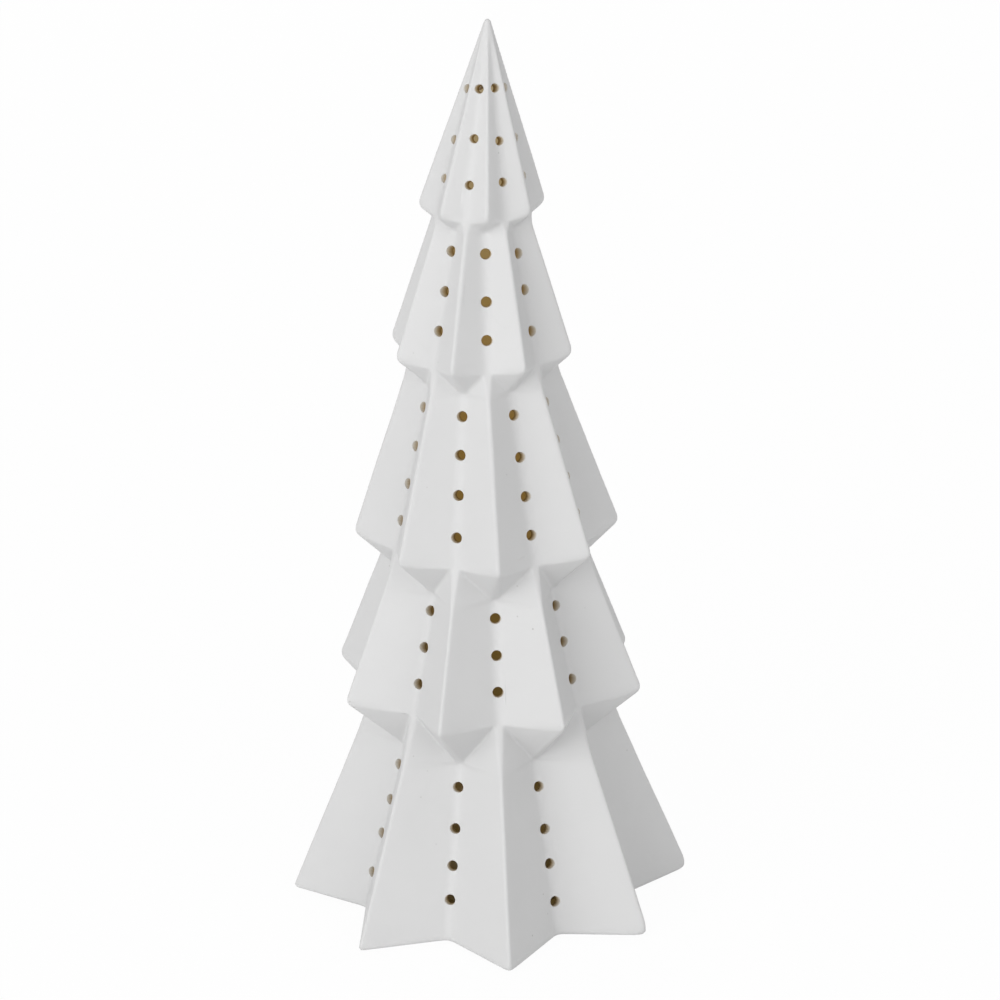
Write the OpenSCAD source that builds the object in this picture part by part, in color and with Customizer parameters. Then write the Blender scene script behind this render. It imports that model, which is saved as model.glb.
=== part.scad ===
// Pierced ceramic fir tree with a plug-in battery light in its base.
// Millimetres, +Z up, origin on the table under the middle of the tree.

/* [Ceramic tiers, from the tip down] */
// Height of the top tier, from the rounded tip to its points
tier1_h = 59.5; // [54:0.5:66]
// Height of the second tier, from the points above to its own
tier2_h = 47.5; // [43:0.5:52]
// Height of the third tier
tier3_h = 63; // [57:0.5:69]
// Height of the fourth tier
tier4_h = 52.5; // [48:0.5:58]
// Height of the bottom tier
tier5_h = 77.5; // [72:0.5:84]
// Radius over the points of the top tier
tier1_point_r = 21; // [20:0.5:22.5]
// Radius over the points of the second tier
tier2_point_r = 31.4; // [29.9:0.5:33.4]
// Radius over the points of the third tier
tier3_point_r = 44.5; // [42.5:0.5:47.5]
// Radius over the points of the fourth tier
tier4_point_r = 53.7; // [51.7:0.5:56.2]
// Radius over the points of the bottom tier
tier5_point_r = 68.8; // [66.3:0.5:71.8]
// Radius into the folds of the top tier, at its lower edge
tier1_fold_r = 15.5; // [15:0.5:16.5]
// Radius into the folds of the second tier
tier2_fold_r = 22.4; // [21.4:0.5:23.9]
// Radius into the folds of the third tier
tier3_fold_r = 32.6; // [31.6:0.5:34.6]
// Radius into the folds of the fourth tier
tier4_fold_r = 36.9; // [35.9:0.5:38.4]
// Radius into the folds of the bottom tier
tier5_fold_r = 48.3; // [47.8:0.5:51.3]
// How far the undercut of the top tier runs below its points
neck1_drop = 6; // [5:0.5:8]
// How far the undercut of the second tier runs down
neck2_drop = 10.5; // [9:0.5:12]
// How far the undercut of the third tier runs down
neck3_drop = 15.5; // [14:0.5:17]
// How far the undercut of the fourth tier runs down
neck4_drop = 19.5; // [18:0.5:21]

/* [Ceramic wall] */
// Thickness of the slip-cast wall
wall_t = 3; // [2.6:0.1:3.4]
// Radius of the rounded tip
tip_r = 1.4; // [1:0.1:2]
// Rounding of the points where each tier ends
point_round = 2.2; // [1.5:0.1:4]
// Rounding of the ridges
ridge_round = 1.2; // [0.5:0.1:2]
// Rounding of the folds between the ridges
fold_round = 2.3; // [1.5:0.1:5]
// Rounding of the standing edge
foot_round = 2.2; // [1:0.1:2.6]
// Thickness of the cast floor
floor_t = 4; // [3:0.5:5]
// Depth of the hollow under the floor
foot_recess = 3; // [2.8:0.1:4]

/* [Light holes] */
// Diameter of the light holes in the four lower tiers
hole_d = 3.6; // [3:0.1:4]
// Diameter of the light holes in the top tier
top_hole_d = 3; // [2.4:0.1:3.2]

/* [Light module] */
// Plastic from the cups of the door's screws to the edge of the round housing
module_rim = 1.25; // [1:0.05:2]
// How far the flange laps under the ceramic floor, past its opening
flange_lap = 4.2; // [3.2:0.1:5.2]
// Thickness of the housing's outer wall
housing_wall = 2; // [1.6:0.1:2.2]
// Thickness of the flange
flange_t = 2.2; // [2:0.1:2.6]
// Radial thickness of the rubber grip ring, over its ribs
grip_t = 2; // [1.5:0.1:2.5]
// Height of the rubber grip ring
grip_h = 5; // [4:0.5:6]
// Thickness of the housing's lid
lid_t = 2; // [1.6:0.1:2.6]
// Radius of the frosted dome over the lamps
dome_r = 13; // [12.5:0.5:15]
// Height of the straight wall of the dome
dome_skirt = 3; // [2:0.5:5]

/* [Batteries] */
// Diameter of one battery cell
cell_d = 10.5; // [10:0.1:10.5]
// Length of one battery cell, with its button
cell_l = 44.5; // [43.5:0.5:44.5]
// Spacing of the cells
cell_pitch = 11.4; // [11.3:0.1:11.6]
// Free length of the contact springs when a cell is in
spring_l = 5.2; // [4.8:0.1:5.4]

/* [Pads and switch] */
// Diameter of the felt pads
pad_d = 9; // [7:0.5:10]
// Thickness of the felt pads
pad_t = 1; // [0.8:0.1:1.5]
// Travel of the switch to each side of its middle
switch_throw = 2; // [1.5:0.1:2]

/* [Hidden] */
$fn = 48;

// Clearance between pieces that move apart, between pieces that stay together,
// and the overrun of every cut
gap = 0.3;
snug = 0.1;
over = 0.5;

// Star of each tier: points and folds alternate every half step round the axis
star_points = 8;
half_step = 180 / star_points;

// Levels of the points of each tier, above the standing edge
tier_z = [tier5_h + tier4_h + tier3_h + tier2_h,
          tier5_h + tier4_h + tier3_h,
          tier5_h + tier4_h,
          tier5_h,
          0];
tier_h = [tier1_h, tier2_h, tier3_h, tier4_h, tier5_h];
tree_h = tier_z[0] + tier1_h;
point_r = [tier1_point_r, tier2_point_r, tier3_point_r, tier4_point_r, tier5_point_r];
fold_r = [tier1_fold_r, tier2_fold_r, tier3_fold_r, tier4_fold_r, tier5_fold_r];
neck_drop = [neck1_drop, neck2_drop, neck3_drop, neck4_drop];
last_tier = len(tier_z) - 1;

// The ridges of the top tier run as tangents onto the ball of the tip, and they
// would meet above it at the apex
tip_ball_h = tier1_h - tip_r;
tip_slope = atan(tier1_point_r / tip_ball_h)
            - asin(tip_r / norm([tier1_point_r, tip_ball_h]));
apex = [0, tree_h - tip_r + tip_r / sin(tip_slope)];
tip_rings = 3;

// The cast isn't quite true: how far its middle stands to the right of the axis, at the
// tip and then at the points of each tier, as shares of the wall
lean_shares = [0.8, -0.05, -0.35, 0, 0, 0];

// Steps of the rounded corners, and the most of a side that one corner may take
corner_steps = 3;
point_steps = 3;
inner_steps = 1;
corner_share = 0.35;
// Where a fold turns into the ridge below it, the skin's rings stand this far apart
seam_step = 1;

// How far a corner of the inner skin lies in from the outer one, and how far up,
// as shares of the wall
point_in_share = 1.6;
fold_in_share = 1.1;
neck_in_share = 1.15;
lift_share = 0.3;

// Light holes: rows in each fold, then the height of the lowest row above the
// tier's points and the pitch going up, as shares of the tier's height
hole_rows = [3, 3, 4, 3, 4];
row_up_share = [0.163, 0.185, 0.124, 0.154, 0.17];
row_pitch_share = [0.242, 0.273, 0.2, 0.227, 0.16];
// Depth of a drilled hole behind its fold, as a share of the wall
bore_in_share = 1.7;
// The holes are made by hand: how far each of three neighbours in a row wanders
// up or down, as a share of its diameter, from the lowest row up
neighbours = 3;
wander_shares = [
    [[0.05, 0, -0.15], [-0.55, -0.75, -0.25], [0, -0.25, -0.05]],
    [[-0.2, 0.25, -0.05], [-0.5, 0.1, 0], [0, 0, -0.4]],
    [[-0.15, -0.05, -0.1], [-0.25, -0.15, 0.1], [-0.3, -0.2, 0.1], [-0.1, -0.15, -0.05]],
    [[-0.05, -0.15, -0.35], [-0.15, -0.15, -0.2], [-0.2, -0.15, -0.2]],
    [[-0.45, 0, 0.2], [-0.45, 0.35, -0.2], [-0.75, 0.15, -0.3], [-0.35, 0.1, -0.05]]];

// Battery bay: as long as a cell with its spring and contacts. The screws of its door
// stand in cups beyond its ends, and the housing's edge lies beyond the cups
cell_count = 3;
contact_t = 0.4;
bay_half_l = (cell_l + spring_l) / 2 + contact_t + 2 * snug;
bay_half_w = cell_pitch * cell_count / 2;
cup_r = 3;
cup_wall = 0.5;
door_screw_x = bay_half_l + cup_wall + gap + cup_r;
module_r = door_screw_x + cup_r + module_rim;
seat_r = module_r + grip_t + gap;
flange_r = seat_r + flange_lap;

// Base of the tree, above the table: the recess leaves room for fingers round
// the flange of the light module
finger_gap = 4;
recess_z = pad_t + foot_recess;
recess_r = flange_r + finger_gap;
pad_ring_r = (recess_r + tier5_point_r) / 2;

// Light module, upwards from its flange: door, sill round the battery bay, roof of
// the bay, chamber for the board, lid
flange_top = recess_z - gap;
module_z = flange_top - flange_t;
inner_r = module_r - housing_wall;
nail_notch_r = 4;
door_t = 1.8;
sill_lap = 3;
sill_z = module_z + door_t + gap;
sill_t = 1.2;
deck_z = sill_z + sill_t;
bay_wall = 1.2;
cell_z = sill_z + snug + cell_d / 2;
bay_z = cell_z + cell_d / 2 + snug;
bay_rib_t = 0.6;
bay_rib_half_l = bay_half_l - contact_t - 2 * snug - gap;
bay_rib_h = 3.4;
roof_t = 1.2;
roof_z = bay_z + roof_t;
chamber_h = 6;
lid_z = roof_z + chamber_h;
lid_top = lid_z + lid_t;

// Grip ring: a rubber band with upright ribs
grip_rib_r = 0.7;
grip_ribs = 24;
grip_band_r = module_r + grip_t - grip_rib_r;

// Door screws: their heads turn in cups that stand up from the door
door_screw_r = 1.25;
door_screw_l = 8;
door_head_r = 2.1;
door_head_h = 1.4;
cup_web = 1.2;
cup_seat_z = module_z + snug + door_head_h + snug;
cup_top = cup_seat_z + cup_web;
door_rim = 0.4;
post_h = 9;
drive_slot_t = 0.6;
drive_slot_deep = 0.7;

// Lid screws, in posts that grow out of the housing's wall
lid_screw_r = 1.1;
lid_screw_l = 8;
lid_head_r = 2;
lid_head_h = 1.5;
lid_post_r = 2.6;
lid_post_ring = inner_r - lid_post_r / 2;
lid_post_angle = 60;
lip_t = 0.9;
lip_h = 1.2;
lead_hole_r = 2.2;

// Cells lie end for end in turn, and each button is pushed against its contact
cell_shift = (spring_l - snug) / 2;
button_r = 1.9;
button_h = 0.8;
cell_chamfer = 0.4;
contact_w = 8.4;
contact_h = 8.6;
tab_w = 2.4;
tab_up = 2;
wire_r = 0.3;
spring_turns = 4;
spring_low_r = 3.4;
spring_top_r = 2.2;
ring_steps = 8;
wire_sides = 6;

// Circuit board, screwed to pegs on the roof of the battery bay
board_l = 27;
board_w = 19;
board_t = 1.2;
peg_h = 1.4;
peg_r = 1.8;
board_edge = 2.5;
board_z = roof_z + peg_h;
board_top = board_z + board_t;
board_screw_r = 0.8;
board_screw_l = 3;
board_head_r = 1.5;
board_head_h = 0.9;
chip_l = 5;
chip_w = 4;
chip_h = 1.3;
capacitor_r = 2;
capacitor_h = 2.6;
resistor_l = 2;
resistor_w = 1.2;
resistor_h = 0.6;
// Middles of the parts, as shares of the board's length and width
chip_place_share = [0, -0.27];
capacitor_place_share = [0.2, -0.2];
resistor_place_shares = [[-0.2, 0.22], [-0.2, 0.36], [0.16, 0.3]];

// Slide switch between the battery bay and the wall, with its dish for a finger
switch_y = (bay_half_w + bay_wall + inner_r) / 2;
switch_l = 9;
switch_w = 5;
switch_h = 4.2;
switch_skin = 0.5;
fence_t = 0.8;
fence_h = 2;
stem_l = 2.6;
stem_w = 1.8;
slot_l = stem_l + 2 * switch_throw + 2 * gap;
slot_w = stem_w + 2 * gap;
dish_r = 2.6;
dish_deep = 1;
knob_proud = 0.5;
shoe_l = switch_l - 2 * switch_skin - 2 * switch_throw - 2 * gap;
shoe_w = switch_w - 2 * switch_skin - 2 * gap;
shoe_h = 1.2;

// Lamps under the frosted dome
lamp_board_r = 10.6;
lamp_board_t = 1.2;
lamp_r = 2.5;
lamp_body_h = 5;
lamp_rim_r = 2.9;
lamp_rim_h = 1;
lamp_ring_r = 5.4;
lamp_count = 3;
lamp_z = lid_top + lamp_board_t;
dome_t = 1.2;
collar_t = 1.2;
collar_h = 2;

// Leads of thin insulated wire: the points of each route are chosen by hand, and its
// ends are tied to the pieces that it joins
lead_r = 0.6;
lead_sides = 8;
lead_off = 0.35;
red_route = [[24.6, 11.4, 17.2], [23.2, 11.4, 17.8], [21, 11.8, 18.2], [18.6, 12, 18.5],
             [16.4, 11.2, 18.9], [14.6, 9.4, 19.4], [13, 7.6, 19.8], [11.2, 5.6, 20],
             [9.8, 4.4, 19.8], [9, 3.6, 19.1], [8.8, 3.4, 18.2]];
black_route = [[-24.6, -11.4, 17.2], [-23.2, -11.4, 17.8], [-21, -11.8, 18.2],
               [-18.6, -12, 18.5], [-16.4, -11.2, 18.9], [-14.6, -9.4, 19.4],
               [-13, -7.6, 19.8], [-11.2, -5.6, 20], [-9.8, -4.4, 19.8],
               [-9, -3.6, 19.1], [-8.8, -3.4, 18.2]];
switch_route = [[1.2, 25, 9.1], [1.2, 25, 11], [1.2, 24.8, 13.2], [1.2, 24, 15.6],
                [1.2, 22.2, 17.8], [1.2, 19.6, 19.2], [1.2, 16.4, 19.8], [1.2, 12.8, 20],
                [1.2, 9.6, 19.8], [1.2, 8.1, 19.1], [1.2, 7.8, 18.2]];
lamp_route = [[0.9, 0, 18.2], [0.9, 0, 19.2], [0.9, 0.3, 20.2], [0.9, 0.5, 21],
              [0.9, 0.4, 21.8], [0.9, 0.1, 22.4], [0.9, 0, 22.9], [0.9, 0, 23.4]];
tab_end = [bay_half_l - snug - contact_t - lead_off, cell_pitch, roof_z + tab_up - gap];

// Colours
white_bisque = [0.93, 0.93, 0.925];
felt_grey = [0.78, 0.77, 0.74];
white_plastic = [0.9, 0.9, 0.88];
soft_rubber = [0.82, 0.82, 0.8];
steel = [0.72, 0.73, 0.75];
nickel = [0.78, 0.77, 0.73];
cell_jacket = [0.62, 0.65, 0.67];
board_green = [0.1, 0.32, 0.18];
chip_black = [0.06, 0.06, 0.07];
lamp_amber = [0.95, 0.9, 0.72];
dome_white = [0.96, 0.96, 0.94];
lead_red = [0.7, 0.08, 0.06];
lead_black = [0.07, 0.07, 0.07];
lead_grey = [0.6, 0.6, 0.6];

// Corners of the skin, as [radius, level above the standing edge]

// Points of tier k, folds of tier k, and the neck where its undercut ends
function point_at(k) = [point_r[k], tier_z[k]];
function fold_at(k) = [fold_r[k], tier_z[k]];
function neck_at(k) =
    let (z = tier_z[k] - neck_drop[k], ridge = at_level(fold_at(k), point_at(k + 1), z))
    [ridge[0] * fold_r[k + 1] / point_r[k + 1], z];

// Where the ridges and the folds of tier k start
function ridge_top(k) = k == 0 ? apex : fold_at(k - 1);
function fold_top(k) = k == 0 ? apex : neck_at(k - 1);

// The point at level z on the line from a to b
function at_level(a, b, z) = a + (b - a) * ((z - a[1]) / (b[1] - a[1]));

// The point at distance d from p on the way to q
function toward(p, q, d) = p + (q - p) * (d / norm(q - p));

// The corner p between a and b, rounded over a reach, in a number of steps
function rounded(p, a, b, reach, steps) =
    let (u = toward(p, a, reach), v = toward(p, b, reach))
    [for (i = [0:steps]) let (t = i / steps)
        (1 - t) * (1 - t) * u + 2 * t * (1 - t) * p + t * t * v];

// The fold of tier k beside its rounded points: step s of them, down the seam
function seam_at(k, s) =
    let (d = seam_step * (s - point_steps / 2))
    d < 0 ? toward(fold_at(k), fold_top(k), -d) : toward(fold_at(k), point_at(k + 1), d);

// How far the middle of the cast stands to the right at level z
function lean_at(z) =
    wall_t * lookup(z, [[tree_h, lean_shares[0]],
                        each [for (k = [0:last_tier]) [tier_z[k], lean_shares[k + 1]]]]);

// A corner in space: the front ridge of the bottom tier, number 0, points to -Y
function spot(p, i) =
    [p[0] * sin(i * half_step) + lean_at(p[1]), -p[0] * cos(i * half_step), p[1]];

// One closed loop of the skin of tier k, from a pair of corners, [on the point side, on
// the fold side], and the pair of reaches that round them. Tier k has its points on even
// corners when k is even
function tier_ring(k, pair, reaches, steps) =
    [for (i = [0:2 * star_points - 1])
        let (own = (i + k) % 2,
             p = spot(pair[own], i),
             a = spot(pair[1 - own], i - 1),
             b = spot(pair[1 - own], i + 1))
        each rounded(p, a, b, min(reaches[own], corner_share * norm(a - p)), steps)];

// The reach at share t of the way from a ridge into a fold, or back
function ridge_to_fold(t) = ridge_round + (fold_round - ridge_round) * t;

// Rings of the outer skin: round the tip, round the points of a tier, round the
// neck under it, and round the standing edge
function tip_ring_list() =
    [for (i = [1:tip_rings])
        let (a = 90 - (90 - tip_slope) * i / tip_rings,
             r = tip_r * cos(a),
             z = tree_h - tip_r + tip_r * sin(a),
             fold_share = 1 - (1 - tier1_fold_r / tier1_point_r) * i / tip_rings)
        tier_ring(0, [[r, z], [r * fold_share, z]], [ridge_round, fold_round], corner_steps)];

function point_ring_list(k) =
    let (row = rounded(point_at(k), ridge_top(k), neck_at(k), point_round, point_steps))
    [for (s = [0:point_steps])
        tier_ring(k, [row[s], seam_at(k, s)],
                  [ridge_round, ridge_to_fold(1 - s / point_steps)], corner_steps)];

function neck_ring_list(k) =
    let (row = rounded(neck_at(k), point_at(k), fold_at(k + 1), ridge_round, corner_steps))
    [for (s = [0:corner_steps])
        tier_ring(k, [row[s], at_level(fold_at(k), point_at(k + 1), row[s][1])],
                  [ridge_to_fold(s / corner_steps), ridge_round], corner_steps)];

function foot_ring_list() =
    let (k = last_tier,
         points = rounded(point_at(k), ridge_top(k), [0, 0], foot_round, corner_steps),
         folds = rounded(fold_at(k), fold_top(k), [0, 0], foot_round, corner_steps))
    [for (s = [0:corner_steps])
        tier_ring(k, [points[s], folds[s]], [ridge_round, fold_round], corner_steps)];

// Corners of the inner skin
function point_in(k) = point_at(k) + wall_t * [-point_in_share, lift_share];
function fold_in(k) = fold_at(k) - wall_t * [fold_in_share, 0];
function neck_in(k) = neck_at(k) + wall_t * [-neck_in_share, lift_share];
inner_apex = [0, at_level([apex[1], apex[0]], [tier_z[0], tier1_point_r],
                          point_in_share * wall_t)[0]];
inner_floor = foot_recess + floor_t;

function inner_ring_list(k) =
    [tier_ring(k, [point_in(k), fold_in(k)], [wall_t, wall_t], inner_steps),
     tier_ring(k, [neck_in(k), at_level(fold_in(k), point_in(k + 1), neck_in(k)[1])],
               [wall_t, wall_t], inner_steps)];

function inner_foot_ring() =
    let (k = last_tier)
    tier_ring(k, [at_level(fold_in(k - 1), point_in(k), inner_floor),
                  at_level(neck_in(k - 1), fold_in(k), inner_floor)],
              [wall_t, wall_t], inner_steps);

// Closed skin from a list of rings, with a point above the first and a point inside
// the last; each four-sided patch is split along its shorter diagonal
module skin(top, rings, bottom) {
    n = len(rings[0]);
    m = len(rings);
    points = concat([top], [for (r = rings) each r], [bottom]);
    cap = [for (j = [0:n - 1]) [0, 1 + (j + 1) % n, 1 + j]];
    base = [for (j = [0:n - 1])
        [1 + m * n, 1 + (m - 1) * n + j, 1 + (m - 1) * n + (j + 1) % n]];
    sides = [for (i = [0:m - 2], j = [0:n - 1])
        let (a = 1 + i * n + j,
             b = 1 + i * n + (j + 1) % n,
             c = b + n,
             d = a + n)
        each norm(points[a] - points[c]) < norm(points[b] - points[d])
            ? [[a, b, c], [a, c, d]]
            : [[a, b, d], [b, c, d]]];
    polyhedron(points = points, faces = concat(cap, sides, base));
}

module outer_skin()
    skin([lean_at(tree_h), 0, tree_h],
         concat(tip_ring_list(),
                [for (k = [0:last_tier - 1]) each concat(point_ring_list(k), neck_ring_list(k))],
                foot_ring_list()),
         [0, 0, 0]);

module inner_skin()
    skin([lean_at(inner_apex[1]), 0, inner_apex[1]],
         concat([for (k = [0:last_tier - 1]) each inner_ring_list(k)], [inner_foot_ring()]),
         [0, 0, inner_floor]);

// A hole drilled square to its fold: row number from the lowest, column number round.
// Each one is turned half a step about itself, so that none of its lines meets the fold
module light_hole(k, row, column) {
    d = k == 0 ? top_hole_d : hole_d;
    neighbour = (k % 2 == 0 ? column + star_points + 1 : 2 * column + star_points + 1)
        % neighbours;
    z = tier_z[k] + tier_h[k] * (row_up_share[k] + row * row_pitch_share[k])
        + d * wander_shares[k][row][neighbour];
    place = at_level(fold_top(k), fold_at(k), z);
    run = fold_at(k) - fold_top(k);
    translate([lean_at(z), 0, z])
        rotate([0, 0, (2 * column + (k + 1) % 2) * half_step])
            translate([0, -place[0], 0])
                rotate([atan2(-run[1], run[0]), 0, 0])
                    rotate([0, 0, half_step])
                        translate([0, 0, -bore_in_share * wall_t])
                            cylinder(d = d, h = bore_in_share * wall_t + d);
}

// Shared shapes

// Upright round bar of radius r from level z0 to level z1
module bar(r, z0, z1)
    translate([0, 0, z0]) cylinder(r = r, h = z1 - z0);

// Block of half widths x and y from level z0 to level z1
module block(x, y, z0, z1)
    translate([-x, -y, z0]) cube([2 * x, 2 * y, z1 - z0]);

// Block with round ends along X: whole length l, radius r
module slot_block(l, r, z0, z1) {
    block(l / 2 - r, r, z0, z1);
    both_ends(l / 2 - r) bar(r, z0, z1);
}

module both_ends(x)
    for (side = [-1, 1]) translate([side * x, 0, 0]) children();

module four_corners(x, y)
    for (side = [-1, 1], end = [-1, 1]) translate([side * x, end * y, 0]) children();

module lid_post_places()
    four_corners(lid_post_ring * cos(lid_post_angle), lid_post_ring * sin(lid_post_angle))
        children();

module board_screw_places()
    four_corners(board_l / 2 - board_edge, board_w / 2 - board_edge) children();

// A route with its bends kept and its ends moved to a and b
function tied(route, a, b) =
    let (last = len(route) - 1)
    [for (i = [0:last]) let (t = i / last)
        route[i] + (1 - t) * (a - route[0]) + t * (b - route[last])];

// The end of a route, just above the circuit board
function board_end(p) = [p[0], p[1], board_top + snug];

// Tube of radius r along a route; side is a direction that the route never takes
module tube(route, r, sides, side) {
    last = len(route) - 1;
    points = [for (i = [0:last])
        let (run = route[min(i + 1, last)] - route[max(i - 1, 0)],
             u = cross(run, side) / norm(cross(run, side)),
             v = cross(run, u) / norm(cross(run, u)))
        for (j = [0:sides - 1])
            route[i] + r * (cos(j * 360 / sides) * u + sin(j * 360 / sides) * v)];
    walls = [for (i = [0:last - 1], j = [0:sides - 1])
        let (a = i * sides + j,
             b = i * sides + (j + 1) % sides)
        each [[a, a + sides, b], [b, a + sides, b + sides]]];
    ends = [[for (j = [0:sides - 1]) j],
            [for (j = [0:sides - 1]) last * sides + sides - 1 - j]];
    polyhedron(points = points, faces = concat(walls, ends));
}

module mirrored_pair() {
    children();
    mirror([1, 0, 0]) children();
}

// Screw pointing up: its head hangs below level z, with a cross for the driver
module screw_up(r, l, head_r, head_h, z) {
    bar(r, z, z + l);
    difference() {
        bar(head_r, z - head_h, z);
        for (turn = [0, 90])
            rotate([0, 0, turn])
                block(head_r - drive_slot_t, drive_slot_t / 2,
                      z - head_h - over, z - head_h + drive_slot_deep);
    }
}

module screw_down(r, l, head_r, head_h, z)
    translate([0, 0, z]) mirror([0, 0, 1]) screw_up(r, l, head_r, head_h, 0);

// Sub-parts

module ceramic_tree() {
    color(white_bisque)
        translate([0, 0, pad_t])
            difference() {
                outer_skin();
                inner_skin();
                for (k = [0:last_tier], row = [0:hole_rows[k] - 1],
                     column = [1 - star_points / 2:star_points / 2])
                    light_hole(k, row, column);
                bar(recess_r, -over, foot_recess);
                bar(seat_r, -over, inner_floor + over);
            }
}

module felt_pads() {
    color(felt_grey)
        for (i = [0:star_points - 1])
            rotate([0, 0, i * 2 * half_step])
                translate([0, -pad_ring_r, 0])
                    bar(pad_d / 2, 0, pad_t);
}

module housing_shell() {
    difference() {
        union() {
            bar(module_r, module_z, lid_z);
            bar(flange_r, module_z, flange_top);
        }
        difference() {
            bar(inner_r, deck_z, lid_z + over);
            block(bay_half_l + bay_wall, bay_half_w + bay_wall, deck_z - over, roof_z);
            both_ends(door_screw_x)
                bar(cup_r + gap, deck_z - over, cup_top + gap + post_h);
            lid_post_places() bar(lid_post_r, deck_z - over, lid_z + over);
            board_screw_places() bar(peg_r, roof_z - over, board_z);
            both_ends(switch_l / 2 + snug + fence_t / 2)
                translate([0, switch_y, 0])
                    block(fence_t / 2, switch_w / 2, deck_z - over, deck_z + fence_h);
        }
    }
}

module door_outline(margin, z0, z1) {
    intersection() {
        bar(door_screw_x + cup_r + door_rim + margin, z0, z1);
        block(flange_r, bay_half_w + sill_lap + margin, z0 - over, z1 + over);
    }
}

module battery_housing() {
    color(white_plastic)
        difference() {
            housing_shell();
            difference() {
                block(bay_half_l, bay_half_w, module_z - over, bay_z);
                for (side = [-1, 1])
                    translate([0, side * cell_pitch / 2, 0])
                        block(bay_rib_half_l, bay_rib_t / 2, bay_z - bay_rib_h, bay_z + over);
            }
            door_outline(gap, module_z - over, sill_z);
            both_ends(door_screw_x) {
                bar(cup_r + gap, module_z - over, cup_top + gap);
                bar(door_screw_r + snug, cup_top, cup_seat_z + door_screw_l + over);
            }
            lid_post_places()
                bar(lid_screw_r, lid_top - lid_screw_l - over, lid_z + over);
            board_screw_places()
                bar(board_screw_r, board_top - board_screw_l - snug, board_z + over);
            for (side = [-1, 1])
                translate([side * (bay_half_l - snug - contact_t / 2), side * cell_pitch, 0])
                    block(contact_t / 2 + snug, tab_w / 2 + snug, bay_z - over, roof_z + over);
            translate([0, switch_y, 0]) {
                block(slot_l / 2, slot_w / 2, module_z - over, deck_z + over);
                slot_block(slot_l + 2 * dish_deep, dish_r, module_z - over,
                           module_z + dish_deep);
            }
            for (side = [-1, 1])
                translate([0, side * flange_r, 0])
                    bar(nail_notch_r, module_z - over, flange_top + over);
        }
}

module grip_ring() {
    color(soft_rubber)
        difference() {
            union() {
                bar(grip_band_r, flange_top, flange_top + grip_h);
                for (i = [0:grip_ribs - 1])
                    rotate([0, 0, i * 360 / grip_ribs])
                        translate([grip_band_r, 0, 0])
                            bar(grip_rib_r, flange_top, flange_top + grip_h);
            }
            bar(module_r, flange_top - over, flange_top + grip_h + over);
        }
}

module housing_lid() {
    color(white_plastic)
        difference() {
            union() {
                bar(module_r, lid_z, lid_top);
                bar(dome_r + snug + collar_t, lid_z, lid_top + collar_h);
                difference() {
                    bar(inner_r - snug, lid_z - lip_h, lid_z + snug);
                    bar(inner_r - snug - lip_t, lid_z - lip_h - over, lid_z);
                    lid_post_places()
                        bar(lid_post_r + snug, lid_z - lip_h - over, lid_z);
                }
            }
            bar(dome_r + snug, lid_top, lid_top + collar_h + over);
            bar(lead_hole_r, lid_z - over, lid_top + over);
            lid_post_places() bar(lid_screw_r + snug, lid_z - over, lid_top + over);
        }
}

module lid_screws() {
    color(steel)
        lid_post_places()
            screw_down(lid_screw_r, lid_screw_l, lid_head_r, lid_head_h, lid_top);
}

module battery_door() {
    color(white_plastic)
        difference() {
            union() {
                door_outline(0, module_z, module_z + door_t);
                both_ends(door_screw_x) bar(cup_r, module_z, cup_top);
            }
            both_ends(door_screw_x) {
                bar(door_head_r + gap, module_z - over, cup_seat_z);
                bar(door_screw_r + snug, cup_seat_z - over, cup_top + over);
            }
        }
}

module door_screw(x) {
    color(steel)
        translate([x, 0, 0])
            screw_up(door_screw_r, door_screw_l, door_head_r, door_head_h, cup_seat_z - snug);
}

module door_screw_left() {
    door_screw(-door_screw_x);
}

module door_screw_right() {
    door_screw(door_screw_x);
}

// Cell lying along X with its button towards +X, or turned round by a mirror
module cell(way, y) {
    body_l = cell_l - button_h;
    color(cell_jacket)
        translate([way * cell_shift, y, cell_z])
            rotate([0, way * 90, 0])
                translate([0, 0, -cell_l / 2])
                    rotate_extrude()
                        polygon([[0, 0],
                                 [cell_d / 2 - cell_chamfer, 0],
                                 [cell_d / 2, cell_chamfer],
                                 [cell_d / 2, body_l - cell_chamfer],
                                 [cell_d / 2 - cell_chamfer, body_l],
                                 [button_r, body_l],
                                 [button_r, cell_l],
                                 [0, cell_l]]);
}

module battery_1() {
    cell(1, -cell_pitch);
}

module battery_2() {
    cell(-1, 0);
}

module battery_3() {
    cell(1, cell_pitch);
}

// Spring steel contact against the end wall of the bay, from y0 to y1
module contact_plate(side, y0, y1)
    translate([side * (bay_half_l - snug - contact_t / 2), 0, 0])
        translate([-contact_t / 2, y0 - contact_w / 2, cell_z - contact_h / 2])
            cube([contact_t, y1 - y0 + contact_w, contact_h]);

module contact_tab(side, y)
    translate([side * (bay_half_l - snug - contact_t / 2), y, 0])
        block(contact_t / 2, tab_w / 2, cell_z, roof_z + tab_up);

module negative_terminal() {
    color(nickel) {
        contact_plate(-1, -cell_pitch, -cell_pitch);
        contact_tab(-1, -cell_pitch);
    }
}

module positive_terminal() {
    color(nickel) {
        contact_plate(1, cell_pitch, cell_pitch);
        contact_tab(1, cell_pitch);
    }
}

module bridge_contact_right() {
    color(nickel) contact_plate(1, -cell_pitch, 0);
}

module bridge_contact_left() {
    color(nickel) contact_plate(-1, 0, cell_pitch);
}

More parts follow.
